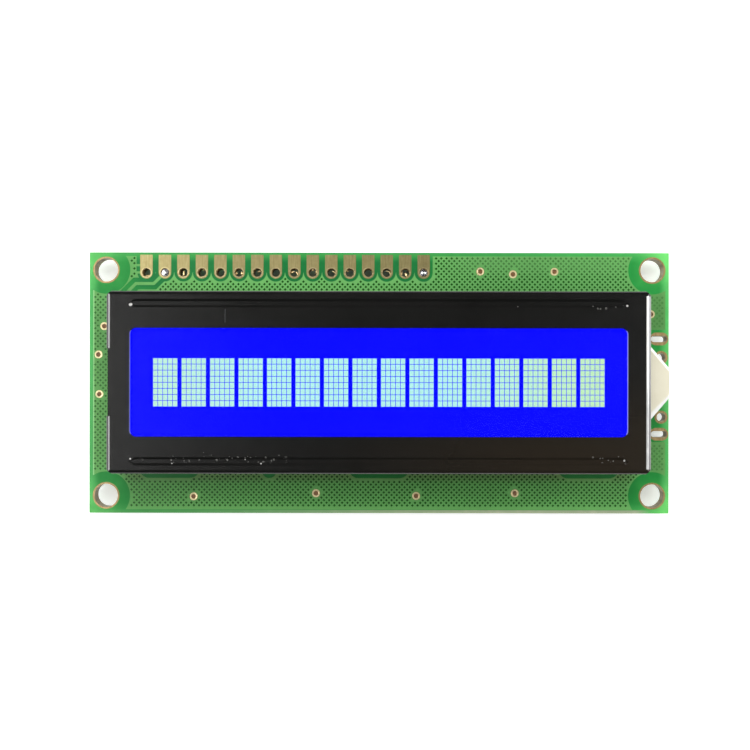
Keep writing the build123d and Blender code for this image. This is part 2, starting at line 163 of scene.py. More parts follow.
def addPiece(name, points, faces, materials, smooth=False, faceMaterials=None):
    mesh = bpy.data.meshes.new(name)
    mesh.from_pydata([tuple(p) for p in points], [], faces)
    for material in materials:
        mesh.materials.append(material)
    if faceMaterials is not None:
        mesh.polygons.foreach_set("material_index", faceMaterials)
    mesh.polygons.foreach_set("use_smooth", [smooth] * len(mesh.polygons))
    mesh.update()
    piece = bpy.data.objects.new(name, mesh)
    bpy.context.scene.collection.objects.link(piece)
    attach(piece, "root")
    return piece


def turned(profile, places, segments, wobble=0.0, seed=0):
    # a closed profile of (radius, height) points turned about each place
    draw = random.Random(seed)
    points, faces = [], []
    for x, y in places:
        base = len(points)
        phase = draw.uniform(0, 2 * math.pi)
        for s in range(segments):
            angle = 2 * math.pi * s / segments
            swell = 1 + wobble * (math.sin(2 * angle + phase) + 0.6 * math.sin(3 * angle + 2.3 * phase))
            for radius, height in profile:
                r = radius * swell
                points.append((x + r * math.cos(angle), y + r * math.sin(angle), height))
        count = len(profile)
        for s in range(segments):
            near = base + s * count
            far = base + (s + 1) % segments * count
            for k in range(count):
                n = (k + 1) % count
                faces.append((near + k, far + k, far + n, near + n))
    return points, faces


def addBox(points, faces, spanX, spanY, spanZ):
    # adds the corners and faces of a box to the lists
    base = len(points)
    (x1, x2), (y1, y2) = spanX, spanY
    for z in spanZ:
        points += [(x1, y1, z), (x2, y1, z), (x2, y2, z), (x1, y2, z)]
    faces += [(base + 3, base + 2, base + 1, base), (base + 4, base + 5, base + 6, base + 7)]
    faces += [(base + k, base + (k + 1) % 4, base + (k + 1) % 4 + 4, base + k + 4) for k in range(4)]


def dress(name, *materials):
    # gives a CAD solid its material
    mesh = solids[name].data
    mesh.materials.clear()
    for material in materials:
        mesh.materials.append(material)


# Effects that several materials share

def makeGrain():
    group, entry, leave = newGroup("grain", {"Scale": 400.0, "Contrast": 1.0}, ["Mask", "Height"])
    where, _ = place(group)
    feeds = {"Vector": where, "Scale": entry["Scale"], "Detail": 4.0, "Roughness": 0.6}
    noise = addNode(group, "ShaderNodeTexNoise", feeds).outputs[0]
    centred = calc(group, "SUBTRACT", noise, 0.5)
    scaled = calc(group, "MULTIPLY", centred, entry["Contrast"])
    group.links.new(calc(group, "ADD", scaled, 0.5, clamp=True), leave["Mask"])
    group.links.new(noise, leave["Height"])
    return group


def makeDust():
    group, entry, leave = newGroup("dust", {"Scale": 300.0, "Size": 0.1, "Cover": 0.1}, ["Mask"])
    where, _ = place(group)
    feeds = {"Vector": where, "Scale": entry["Scale"]}
    cells = addNode(group, "ShaderNodeTexVoronoi", feeds)
    pick = addNode(group, "ShaderNodeSeparateColor", {0: cells.outputs["Color"]}).outputs
    chosen = calc(group, "LESS_THAN", pick[0], entry["Cover"])
    radius = calc(group, "MULTIPLY", entry["Size"], calc(group, "ADD", pick[1], 0.3))
    inside = calc(group, "LESS_THAN", cells.outputs["Distance"], radius)
    group.links.new(calc(group, "MULTIPLY", chosen, inside), leave["Mask"])
    return group


def makeUpright():
    # 1 on faces that stand upright, 0 on faces that lie flat
    group, entry, leave = newGroup("upright", {"Limit": 0.5}, ["Mask"])
    normal = addNode(group, "ShaderNodeNewGeometry").outputs["Normal"]
    tilt = addNode(group, "ShaderNodeSeparateXYZ", {0: normal}).outputs[2]
    flat = calc(group, "ABSOLUTE", tilt)
    group.links.new(calc(group, "LESS_THAN", flat, entry["Limit"]), leave["Mask"])
    return group


def makeBoardLight():
    # how much light comes up through the board: most at its edges and corners
    group, entry, leave = newGroup(
        "boardLight",
        {"HalfLength": 0.04, "HalfWidth": 0.018, "Reach": 0.0015, "CornerReach": 0.005},
        ["Edge", "Corner", "Right"],
    )
    _, spot = place(group)
    alongX = calc(group, "SUBTRACT", entry["HalfLength"], calc(group, "ABSOLUTE", spot[0]))
    alongY = calc(group, "SUBTRACT", entry["HalfWidth"], calc(group, "ABSOLUTE", spot[1]))
    nearest = calc(group, "MINIMUM", alongX, alongY)
    furthest = calc(group, "MAXIMUM", alongX, alongY)
    fromRight = calc(group, "SUBTRACT", entry["HalfLength"], spot[0])
    feeds = [(nearest, entry["Reach"]), (furthest, entry["CornerReach"]), (fromRight, entry["CornerReach"])]
    for label, (inset, reach) in zip(("Edge", "Corner", "Right"), feeds):
        group.links.new(ramp(group, inset, 0.0, reach, 1.0, 0.0), leave[label])
    return group


grain = makeGrain()
dust = makeDust()
upright = makeUpright()
boardLight = makeBoardLight()


# Circuit board: solder mask over glass fibre, lighter where light comes up through it
# a ramp is written as two places in millimetres and the values at them

boardValues = {
    "mask": {
        "deep": paint(22, 126, 50), "bright": paint(88, 184, 98), "corner": paint(124, 228, 118),
        "roughness": 0.32, "lower": 0.86,
    },
    "rawEdge": paint(192, 192, 166),
    "fibre": 0.35,
    "shine": 0.25,
    "lightReach": 1.5 * mm,
    "cornerReach": 5.2 * mm,
    "cornerLight": (0.22, 0.42),  # what the right corners have more, and what all four have
    "sideLight": (16.2, 17.2, 0.85, 0.42),
    "broadLight": 0.16,
    "mottle": (0.16, 0.92),
    "fineGrain": {"Scale": 900.0, "Contrast": 1.6},
    "broadGrain": {"Scale": 90.0, "Contrast": 1.4},
    "fibreGrain": {"Scale": 900.0, "Distortion": 2.0},
    "bump": (0.25, 0.00002),
    # painted light and shade: a level towards the bottom, and more light towards the right
    "lowerHalf": (-14, 8),
    "rightSide": (14, 32, 1.0, 1.2),
    "frameShade": (0.88, 0.62, 0.72, 1.0),
    "frameReach": (1.5 * mm, 0.2 * mm),
    "frameEnds": (33, 36, 1.0, 0.0),
    "frameLimit": -5 * mm,
    "headerShade": (0.72, 0.75, 1.04, 1.0),
    "headerBand": [(12.4, 13.6, 0.0, 1.0), (16.6, 17.3, 1.0, 0.0)],
    "headerLength": [(-34.5, -32.5, 0.0, 1.0), (6.5, 8, 1.0, 0.0)],
    "cutWidth": 0.43 * mm,
    "cutLength": (-36, 20, 0.05, 1.0),
    "cutEnd": (5 * mm, 2 * mm),
}


def belowFrame(tree, spot):
    # 1 where the board lies in the frame's shade, just below it
    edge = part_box("bezel")[0].y
    far, near = boardValues["frameReach"]
    return times(
        tree, ramp(tree, spot[1], edge - far, edge - near),
        slide(tree, calc(tree, "ABSOLUTE", spot[0]), boardValues["frameEnds"]),
        calc(tree, "LESS_THAN", spot[1], boardValues["frameLimit"]),
    )


def maskMaterial(name, addMarks, deep, bright, corner, roughness, lower):
    # solder mask lit from the board's edges; addMarks adds what one piece alone has
    material, tree, shader = newMaterial(name, Roughness=roughness)
    shader.inputs["Specular IOR Level"].default_value = boardValues["shine"]
    where, spot = place(tree)
    _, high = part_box("circuit_board")
    light = useGroup(
        tree, boardLight, HalfLength=high.x, HalfWidth=high.y,
        Reach=boardValues["lightReach"], CornerReach=boardValues["cornerReach"],
    )
    mottle = useGroup(tree, grain, **boardValues["fineGrain"])
    broad = useGroup(tree, grain, **boardValues["broadGrain"])
    sides = slide(tree, calc(tree, "ABSOLUTE", spot[1]), boardValues["sideLight"])
    lift = times(tree, light["Edge"], sides)
    lift = calc(tree, "MULTIPLY_ADD", broad["Mask"], boardValues["broadLight"], lift, clamp=True)
    colour = blendColour(tree, lift, deep, bright)
    nearCorner = calc(tree, "MULTIPLY_ADD", light["Right"], *boardValues["cornerLight"])
    colour = blendColour(tree, times(tree, light["Corner"], nearCorner), colour, corner)
    # the mottle times painted light and shade: scaled by lower towards the bottom, lighter towards the right
    tone = times(
        tree, calc(tree, "MULTIPLY_ADD", mottle["Mask"], *boardValues["mottle"]),
        slide(tree, spot[1], (*boardValues["lowerHalf"], lower, 1.0)),
        slide(tree, spot[0], boardValues["rightSide"]),
    )
    colour = blendColour(tree, 1.0, colour, tone, "MULTIPLY")
    front = calc(tree, "GREATER_THAN", spot[2], high.z / 2)
    shaded = times(tree, front, belowFrame(tree, spot))
    colour = blendColour(tree, shaded, colour, boardValues["frameShade"], "MULTIPLY")
    at = {"where": where, "x": spot[0], "y": spot[1], "front": front}
    feed(tree, shader, "Base Color", addMarks(tree, at, colour))
    bumpFrom(tree, shader, mottle["Height"], *boardValues["bump"])
    return material


def boardMarks(tree, at, colour):
    # darker between the pads of the header
    band = [slide(tree, at["y"], steps) for steps in boardValues["headerBand"]]
    band += [slide(tree, at["x"], steps) for steps in boardValues["headerLength"]]
    between = times(tree, at["front"], *band)
    colour = blendColour(tree, between, colour, boardValues["headerShade"], "MULTIPLY")
    # raw glass fibre at the sides, and along the lower edge of the front, more so to the right
    _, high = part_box("circuit_board")
    start, end = boardValues["cutEnd"]
    cut = times(
        tree, at["front"],
        calc(tree, "LESS_THAN", calc(tree, "ADD", at["y"], high.y), boardValues["cutWidth"]),
        ramp(tree, at["x"], high.x - start, high.x - end, 1.0, 0.0),
        slide(tree, at["x"], boardValues["cutLength"]),
    )
    feeds = {"Vector": at["where"], **boardValues["fibreGrain"]}
    fibre = addNode(tree, "ShaderNodeTexWave", feeds, bands_direction="Z").outputs["Fac"]
    deep = boardValues["mask"]["deep"]
    edge = blendColour(tree, times(tree, fibre, boardValues["fibre"]), boardValues["rawEdge"], deep)
    bare = calc(tree, "MAXIMUM", useGroup(tree, upright, Limit=0.5)["Mask"], cut)
    return blendColour(tree, bare, colour, edge)


# Ground pour: a crosshatch of masked copper with square windows in it

pourValues = {
    "mask": {
        "deep": paint(91, 150, 82), "bright": paint(102, 162, 88), "corner": paint(102, 162, 88),
        "roughness": 0.3, "lower": 1.13,
    },
    "windowMask": {
        "deep": paint(0, 68, 0), "bright": paint(10, 96, 8), "corner": paint(10, 96, 8),
        "roughness": 0.35, "lower": 0.86,
    },
    "pitch": 0.5055 * mm,
    "offset": (-0.055 * mm, -0.036 * mm),
    "window": 0.285 * mm,
    "border": 0.06 * mm,
    "maskLift": 0.01 * mm,
    "windowLift": 0.006 * mm,
    "circleSides": 28,
    "headerLight": 0.52,
    "headerBand": (9, 11, 0.0, 1.0),
    "headerLength": [(-6, 27, 1.0, 0.15), (-36, -29, 0.3, 1.0)],
    "rightColumn": (36.4, 37.2, 1.0, 0.74),
    "borderHighlight": paint(160, 214, 150),
    "borderInset": 0.07 * mm,
    "borderWidth": (0.05, 0.13, 0.75, 0.0),
    "faintEnds": [(36.6, 37.3, 0.0, 0.6), (-35.5, -36.5, 0.0, 0.25)],
    "faintBand": (14.2, 16.2, 0.0, 0.5),
    "faintLength": (8, 14, 0.0, 1.0),
}


def pourMarks(tree, at, colour):
    # painted light: the copper beside the header is lighter, and its last columns on the right are darker
    along = [slide(tree, at["x"], steps) for steps in pourValues["headerLength"]]
    beside = times(tree, slide(tree, at["y"], pourValues["headerBand"]), *along)
    tone = calc(tree, "MULTIPLY_ADD", beside, pourValues["headerLight"], 1.0)
    tone = times(tree, tone, slide(tree, at["x"], pourValues["rightColumn"]))
    colour = blendColour(tree, 1.0, colour, tone, "MULTIPLY")
    # a painted highlight where the step down at the left border of the copper catches the light
    away = gapTo(tree, at["x"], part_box("ground_pour")[0].x + pourValues["borderInset"])
    borderLit = slide(tree, away, pourValues["borderWidth"])
    return blendColour(tree, borderLit, colour, pourValues["borderHighlight"])


def windowMarks(tree, at, colour):
    # the windows are faint at both ends and along the upper right border
    right, left = [slide(tree, at["x"], steps) for steps in pourValues["faintEnds"]]
    band = slide(tree, at["y"], pourValues["faintBand"])
    border = times(tree, band, slide(tree, at["x"], pourValues["faintLength"]))
    faint = calc(tree, "MAXIMUM", calc(tree, "MAXIMUM", right, left), border)
    return blendColour(tree, faint, colour, pourValues["mask"]["deep"])


def flatFaceEdges(name, level):
    # the outline of a solid's flat face: its points, and the edges that only one triangle has
    mesh = solids[name].data
    spots = np.empty(len(mesh.vertices) * 3)
    mesh.vertices.foreach_get("co", spots)
    spots = spots.reshape(-1, 3)
    numbers, points, shared = {}, [], {}
    for polygon in mesh.polygons:
        corners = list(polygon.vertices)
        if any(abs(spots[c][2] - level) > 1e-6 for c in corners):
            continue
        ring = []
        for c in corners:
            key = (round(spots[c][0], 7), round(spots[c][1], 7))
            if key not in numbers:
                numbers[key] = len(points)
                points.append(key)
            ring.append(numbers[key])
        for a, b in zip(ring, ring[1:] + ring[:1]):
            edge = (min(a, b), max(a, b))
            shared[edge] = shared.get(edge, 0) + 1
    return points, [edge for edge, count in shared.items() if count == 1]


def edgeDistance(spots, starts, ends):
    # the distance from each spot to the nearest of the edges
    nearest = np.full(len(spots), np.inf)
    for start, end in zip(starts, ends):
        along = end - start
        share = np.clip((spots - start) @ along / (along @ along), 0, 1)
        gap = spots - (start + share[:, None] * along)
        nearest = np.minimum(nearest, np.hypot(gap[:, 0], gap[:, 1]))
    return nearest


def insideOutline(spots, starts, ends):
    # even-odd test of each spot against the edges
    inside = np.zeros(len(spots), bool)
    for (x1, y1), (x2, y2) in zip(starts, ends):
        if y1 == y2:
            continue
        crosses = (spots[:, 1] < y1) != (spots[:, 1] < y2)
        at = x1 + (spots[:, 1] - y1) * (x2 - x1) / (y2 - y1)
        inside ^= crosses & (spots[:, 0] < at)
    return inside


def windowGrid(high):
    # centres of the hatch windows, on a grid turned by 45 degrees
    pitch = pourValues["pitch"]
    reach = int((high.x + high.y) / pitch) + 2
    steps = np.arange(-reach, reach + 1) * pitch
    u, v = np.meshgrid(steps, steps)
    grid = np.stack([(u - v).ravel(), (u + v).ravel()], axis=1) / math.sqrt(2)
    grid = grid + np.array(pourValues["offset"])
    inBox = (np.abs(grid[:, 0]) < high.x) & (np.abs(grid[:, 1]) < high.y)
    return grid[inBox]


def gridCells(spots):
    # the window grid's cell that each spot lies in, and how far it is from that cell's middle
    local = spots - np.array(pourValues["offset"])
    across = np.stack([local[:, 0] + local[:, 1], local[:, 1] - local[:, 0]], axis=1) / math.sqrt(2)
    cells = np.rint(across / pourValues["pitch"])
    inset = np.abs(across - cells * pourValues["pitch"]).max(axis=1)
    return [tuple(cell) for cell in cells.astype(int).tolist()], inset


def hatchedSheet(name, node, keepOut, materials):
    low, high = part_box(node)
    outline, edges = flatFaceEdges(node, high.z)
    sides = pourValues["circleSides"]
    turns = [2 * math.pi * s / sides for s in range(sides)]
    for x, y, radius in keepOut:
        base = len(outline)
        outline += [(x + radius * math.cos(t), y + radius * math.sin(t)) for t in turns]
        edges += [(base + s, base + (s + 1) % sides) for s in range(sides)]
    points = np.array(outline)
    starts = points[[a for a, _ in edges]]
    ends = points[[b for _, b in edges]]
    half = pourValues["window"] / math.sqrt(2)
    grid = windowGrid(high)
    grid = grid[insideOutline(grid, starts, ends)]
    grid = grid[edgeDistance(grid, starts, ends) > half + pourValues["border"]]
    flat = [Vector(p) for p in outline]
    for x, y in grid:
        base = len(flat)
        flat += [Vector((x + dx, y + dy)) for dx, dy in ((half, 0), (0, half), (-half, 0), (0, -half))]
        edges += [(base + k, base + (k + 1) % 4) for k in range(4)]
    found = geometry.delaunay_2d_cdt(flat, edges, [], 0, 1e-9, True)
    spots = np.array([tuple(p) for p in found[0]])
    triangles = np.array(found[2])
    kept = triangles[insideOutline(spots[triangles].mean(axis=1), starts, ends)]
    # a triangle lies in a window when its centre is inside an open square of the grid
    openCells = set(gridCells(grid)[0])
    cells, inset = gridCells(spots[kept].mean(axis=1))
    inWindow = (inset < pourValues["window"] / 2) & np.array([cell in openCells for cell in cells])
    top = high.z + pourValues["maskLift"]
    floor = low.z + pourValues["windowLift"]
    count = len(spots)
    body = [(x, y, top) for x, y in spots] + [(x, y, floor) for x, y in spots]
    sheet = kept[~inWindow].tolist()
    windows = (kept[inWindow] + count).tolist()
    rim = {edge: True for a, b, c in sheet for edge in ((a, b), (b, c), (c, a))}
    walls = [(b, a, a + count, b + count) for a, b in rim if (b, a) not in rim]
    kinds = [0] * (len(sheet) + len(walls)) + [1] * len(windows)
    return addPiece(name, body, sheet + walls + windows, materials, faceMaterials=kinds)


# Camera, floor and light

cameraValues = {
    "place": (0.9 * mm, -0.99 * mm, 121.6 * mm),
    "lens": 41.905,
    "sensor": 36.0,
    "shift": (-0.01423, 0.02021),
    "turn": 0.0014,
    "clip": (0.005, 20.0),
}
floorValues = {
    "size": 3.0,
    "drop": 0.005 * mm,
    "colour": paint(238, 238, 236),
    "glow": 0.6,
    "speckle": (0.02, 0.98),
    "shade": (35.6 * mm, 17.4 * mm),
    "shadeEdge": (-0.6, 0.2, 0.0, 1.0),
    "shadeTone": (0.4, 0.6),
    "behind": (40.2 * mm, 18.0 * mm),
    "behindEdge": (-0.1, 0.3, 1.0, 0.0),
    "behindX": (-30, 30, 1.0, 1.5),
    "behindY": (-12, 12, 1.5, 1.0),
    "behindShade": 0.16,
}
lightValues = {
    "boxes": {
        "key": {"place": (0.0, 0.25, 0.32), "size": (0.30, 0.20), "power": 1.0},
        "leftBox": {"place": (-0.24, 0.0, 0.17), "size": (0.16, 0.30), "power": 0.30},
        "rightBox": {"place": (0.27, 0.02, 0.12), "size": (0.16, 0.30), "power": 0.34},
    },
    "fill": 0.42,
    # what shiny faces mirror: a glow on either side, by the direction's x and y
    "glows": [
        {"start": (-0.45, -0.56, 0.0, 20.0), "fade": (-0.80, -0.90, 1.0, 0.12), "lower": 0.6},
        {"start": (0.42, 0.52, 0.0, 9.0), "fade": (0.78, 0.90, 1.0, 0.35), "lower": 0.35},
    ],
    "lowerHalf": (-0.13, 0.02),
    "haze": (-0.10, -0.40, 0.0, 0.9),
    "band": (0.30, 0.50, 1.0, 0.0),
    "ceiling": 0.03,
}


def addCamera():
    camera = bpy.data.cameras.new("camera")
    camera.lens = cameraValues["lens"]
    camera.sensor_width = cameraValues["sensor"]
    camera.shift_x, camera.shift_y = cameraValues["shift"]
    camera.clip_start, camera.clip_end = cameraValues["clip"]
    viewer = bpy.data.objects.new("camera", camera)
    viewer.location = cameraValues["place"]
    viewer.rotation_euler = (0.0, 0.0, cameraValues["turn"])
    bpy.context.scene.collection.objects.link(viewer)
    bpy.context.scene.camera = viewer


def outside(tree, spot, halves):
    # how far a point lies outside a box of these half sizes
    gaps = [calc(tree, "SUBTRACT", calc(tree, "ABSOLUTE", spot[k]), halves[k]) for k in (0, 1)]
    return calc(tree, "MAXIMUM", *gaps)


def floorMaterial():
    material, tree, shader = newMaterial("floorPaper", Roughness=0.9)
    _, spot = place(tree)
    # the paper glows except in the shade under the middle of the board, where its colour is also painted
    # darker: a painted shadow
    beside = slide(tree, outside(tree, spot, floorValues["shade"]), floorValues["shadeEdge"])
    speckle = useGroup(tree, grain, Scale=60.0, Contrast=0.2)
    tone = times(
        tree, calc(tree, "MULTIPLY_ADD", speckle["Mask"], *floorValues["speckle"]),
        calc(tree, "MULTIPLY_ADD", beside, *floorValues["shadeTone"]),
    )
    feed(tree, shader, "Base Color", blendColour(tree, 1.0, floorValues["colour"], tone, "MULTIPLY"))
    # painted shade: seen through the holes it is a little darker, most so at the lower right
    dimmer = times(
        tree, slide(tree, outside(tree, spot, floorValues["behind"]), floorValues["behindEdge"]),
        slide(tree, spot[0], floorValues["behindX"]), slide(tree, spot[1], floorValues["behindY"]),
        floorValues["behindShade"],
    )
    rays = addNode(tree, "ShaderNodeLightPath").outputs
    seen = calc(tree, "MAXIMUM", rays["Is Camera Ray"], rays["Is Transmission Ray"])
    seen = calc(tree, "MAXIMUM", seen, rays["Is Glossy Ray"])
    glow = times(tree, seen, beside, calc(tree, "SUBTRACT", 1.0, dimmer), floorValues["glow"])
    shader.inputs["Emission Color"].default_value = (1, 1, 1, 1)
    feed(tree, shader, "Emission Strength", glow)
    return material


def addFloor():
    half = floorValues["size"] / 2
    level = cadBox[0][2] - floorValues["drop"]
    corners = [(x * half, y * half, level) for x, y in ((-1, -1), (1, -1), (1, 1), (-1, 1))]
    mesh = bpy.data.meshes.new("floor")
    mesh.from_pydata(corners, [], [(0, 1, 2, 3)])
    mesh.materials.append(floorMaterial())
    floor = bpy.data.objects.new("floor", mesh)
    bpy.context.scene.collection.objects.link(floor)


def addSoftbox(name, place, size, power):
    lamp = bpy.data.lights.new(name, "AREA")
    lamp.shape = "RECTANGLE"
    lamp.size, lamp.size_y = size
    lamp.energy = power
    box = bpy.data.objects.new(name, lamp)
    box.location = place
    box.rotation_euler = (-Vector(place)).to_track_quat("-Z", "Y").to_euler()
    box.visible_glossy = False
    bpy.context.scene.collection.objects.link(box)


def addWorld():
    world = bpy.data.worlds.new("studio")
    bpy.context.scene.world = world
    world.use_nodes = True
    tree = world.node_tree
    tree.nodes.clear()
    direction = addNode(tree, "ShaderNodeTexCoord").outputs["Generated"]
    alongX, alongY, _ = addNode(tree, "ShaderNodeSeparateXYZ", {0: direction}).outputs
    mirrored = ramp(tree, alongX, *lightValues["haze"])
    for values in lightValues["glows"]:
        glow = times(
            tree, ramp(tree, alongX, *values["start"]), ramp(tree, alongX, *values["fade"]),
            ramp(tree, alongY, *lightValues["lowerHalf"], values["lower"], 1.0),
        )
        mirrored = calc(tree, "ADD", mirrored, glow)
    band = ramp(tree, calc(tree, "ABSOLUTE", alongY), *lightValues["band"])
    mirrored = calc(tree, "MULTIPLY_ADD", mirrored, band, lightValues["ceiling"])
    # everything else gets an even fill, and the camera sees white
    rays = addNode(tree, "ShaderNodeLightPath").outputs
    inGlass = calc(tree, "MAXIMUM", rays["Is Glossy Ray"], rays["Is Transmission Ray"])
    fill = lightValues["fill"]
    level = calc(tree, "MULTIPLY_ADD", calc(tree, "SUBTRACT", mirrored, fill), inGlass, fill)
    level = calc(tree, "MAXIMUM", level, rays["Is Camera Ray"])
    background = addNode(tree, "ShaderNodeBackground", {0: (1, 1, 1, 1), 1: level})
    addNode(tree, "ShaderNodeOutputWorld", {0: background.outputs[0]})


addCamera()
addFloor()
addWorld()
for boxName, boxValues in lightValues["boxes"].items():
    addSoftbox(boxName, **boxValues)
bpy.context.scene.view_settings.view_transform = "Standard"
print("camera, floor and light are in place")


# Gold plating, and the row of header holes

headerValues = {"padWidth": 1.7 * mm, "holes": 16, "holeRadius": 0.6 * mm, "sides": 40}
goldValues = {
    "streakScale": (5200.0, 420.0, 600.0),
    "streaks": (1.5, -0.25),
    "spots": 0.45,
    "metallic": 0.35,
    "roughness": (0.3, 0.7, 0.5, 0.3),
    "spotGrain": {"Scale": 1500.0, "Contrast": 1.8},
    "holeGrain": {"Scale": 2500.0, "Contrast": 2.0},
    "bump": (0.4, 0.00002),
    # painted shade: a darker gold for upright faces
    "wall": (paint(104, 92, 62), paint(156, 142, 104)),
    # painted highlight around each hole
    "holeRimHighlight": paint(228, 210, 158),
    "holeRimHighlightWidth": (0.68, 0.78, 0.45, 0.0),
    "darkening": [(-34, -19, 0.98, 0.72), (-14, 9, 1.0, 0.78)],
    # light and dark colour
    "padGold": (paint(186, 174, 119), paint(150, 136, 85)),
    "rimGold": (paint(176, 152, 102), paint(116, 94, 58)),
    "viaGold": (paint(232, 218, 172), paint(196, 178, 130)),
    # painted shade: a darker gold for the hole walls
    "shadedWallGold": (paint(176, 144, 92), paint(84, 62, 36)),
    # painted glints seen inside the holes
    "holeGlintGold": (paint(255, 236, 186), paint(226, 190, 120)),
    # painted shade: the dark discs that stand in for the inside of the via holes
    "viaHoleShade": (paint(58, 34, 14), paint(128, 90, 52)),
}


def headerRow():
    # the first header hole's centre and the pitch, from the pads' own box
    low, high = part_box("header_pads")
    width = headerValues["padWidth"]
    pitch = (high.x - low.x - width) / (headerValues["holes"] - 1)
    return low.x + width / 2, low.y + width / 2, pitch


def headerSpots():
    first, level, pitch = headerRow()
    return [(first + i * pitch, level) for i in range(headerValues["holes"])]


def padMarks(tree, spot, colour):
    # a painted highlight: a paler ring where the plating turns down into each hole
    first, level, pitch = headerRow()
    along = calc(tree, "ADD", calc(tree, "SUBTRACT", spot[0], first), pitch * 0.5)
    along = calc(tree, "SUBTRACT", calc(tree, "MODULO", along, pitch), pitch * 0.5)
    upward = calc(tree, "SUBTRACT", spot[1], level)
    away = calc(tree, "SQRT", calc(tree, "MULTIPLY_ADD", along, along, times(tree, upward, upward)))
    rim = slide(tree, away, goldValues["holeRimHighlightWidth"])
    colour = blendColour(tree, rim, colour, goldValues["holeRimHighlight"])
    # the pads get darker from left to right
    darkenBy = times(tree, *[slide(tree, spot[0], steps) for steps in goldValues["darkening"]])
    return blendColour(tree, 1.0, colour, darkenBy, "MULTIPLY")


def goldMaterial(name, addMarks=None):
    material, tree, shader = newMaterial(name, Metallic=goldValues["metallic"])
    where, spot = place(tree)
    stretch = addNode(tree, "ShaderNodeMapping", {"Vector": where, "Scale": goldValues["streakScale"]})
    feeds = {"Vector": stretch.outputs[0], "Scale": 1.0, "Detail": 3.0}
    streaks = addNode(tree, "ShaderNodeTexNoise", feeds).outputs[0]
    spots = useGroup(tree, grain, **goldValues["spotGrain"])
    tone = calc(tree, "MULTIPLY_ADD", streaks, *goldValues["streaks"], clamp=True)
    patchy = calc(tree, "ADD", spots["Mask"], goldValues["spots"])
    tone = calc(tree, "MULTIPLY", tone, patchy, clamp=True)
    light, dark = goldValues[name]
    colour = blendColour(tree, tone, dark, light)
    if addMarks:
        colour = addMarks(tree, spot, colour)
    # painted shade: upright faces take the darker wall gold
    wall = useGroup(tree, upright, Limit=0.5)["Mask"]
    shadedWallColour = blendColour(tree, tone, *goldValues["wall"])
    feed(tree, shader, "Base Color", blendColour(tree, wall, colour, shadedWallColour))
    feed(tree, shader, "Roughness", ramp(tree, streaks, *goldValues["roughness"]))
    bumpFrom(tree, shader, streaks, *goldValues["bump"])
    return material


def viaShadeMaterial():
    # a dark disc standing in for the shade inside a via's hole
    material, tree, shader = newMaterial("viaHoleShade", Roughness=0.7)
    speck = useGroup(tree, grain, **goldValues["holeGrain"])
    feed(tree, shader, "Base Color", blendColour(tree, speck["Mask"], *goldValues["viaHoleShade"]))
    return material


padGold = goldMaterial("padGold", padMarks)
rimGold = goldMaterial("rimGold")
viaGold = goldMaterial("viaGold")
shadedWallGold = goldMaterial("shadedWallGold")
holeGlintGold = goldMaterial("holeGlintGold")
viaHoleShade = viaShadeMaterial()


# Vias: small plated holes with a bare ring, placed by the photograph's pixels

viaValues = {
    "pixelsPerMm": 7.27,
    "centrePixel": (379.13, 382.97),
    "pixels": [
        (104.6, 326.6), (98.8, 354.9), (99.6, 394.5),
        (480.0, 271.5), (512.7, 274.3), (554.1, 271.7),
        (650.5, 314.0),
        (194.0, 496.5), (316.2, 493.2), (416.2, 495.8), (514.8, 493.0),
    ],
    "hole": 0.33 * mm,
    "ring": 0.23 * mm,
    "clearance": 0.05 * mm,
    "lift": 0.05 * mm,
    "shoulder": 0.04 * mm,
    "rounding": (0.04 * mm, 0.03 * mm),
    "sink": 0.004 * mm,
    "sides": 32,
}


def viaSpots():
    # the vias' centres on the board, in metres
    middleX, middleY = viaValues["centrePixel"]
    scale = viaValues["pixelsPerMm"]
    return [((x - middleX) / scale * mm, (middleY - y) / scale * mm) for x, y in viaValues["pixels"]]


def addVias():
    low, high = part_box("circuit_board")
    sides = viaValues["sides"]
    steps = [2 * math.pi * s / sides for s in range(sides)]
    inner = viaValues["hole"]
    outer = inner + viaValues["ring"]
    inward, outward = viaValues["rounding"]
    for name, face, way in (("viasFront", high.z, 1), ("viasRear", low.z, -1)):
        sunk = face + way * viaValues["sink"]
        top = face + way * viaValues["lift"]
        ring = [
            (inner, sunk), (inner, face + way * viaValues["shoulder"]), (inner + inward, top),
            (outer - outward, top), (outer, sunk),
        ]
        points, faces = turned(ring[::way], viaSpots(), sides)
        kinds = [0] * len(faces)
        # a dark disc closes each hole: painted shade for its inside
        for x, y in viaSpots():
            base = len(points)
            points += [(x + inner * math.cos(t), y + inner * math.sin(t), sunk) for t in steps]
            faces.append(list(range(base, base + sides))[::way])
            kinds.append(1)
        addPiece(name, points, faces, [viaGold, viaHoleShade], faceMaterials=kinds)


# The board, its copper and the vias put together

dress("circuit_board", maskMaterial("boardMask", boardMarks, **boardValues["mask"]))
pourMask = maskMaterial("pourMask", pourMarks, **pourValues["mask"])
windowMask = maskMaterial("windowMask", windowMarks, **pourValues["windowMask"])
clear = viaValues["hole"] + viaValues["ring"] + viaValues["clearance"]
keepOut = [(x, y, clear) for x, y in viaSpots()]
pour = hatchedSheet("hatchedPour", "ground_pour", keepOut, [pourMask, windowMask])
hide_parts("ground_pour")
addVias()
dress("front_tracks", pourMask)
dress("rear_tracks", pourMask)
print("board, pour and vias are dressed:", len(pour.data.polygons), "faces in the pour")


# Plated header pads, eyelets and hole walls

barrelValues = {"wall": 0.03 * mm, "clearance": 0.002 * mm}


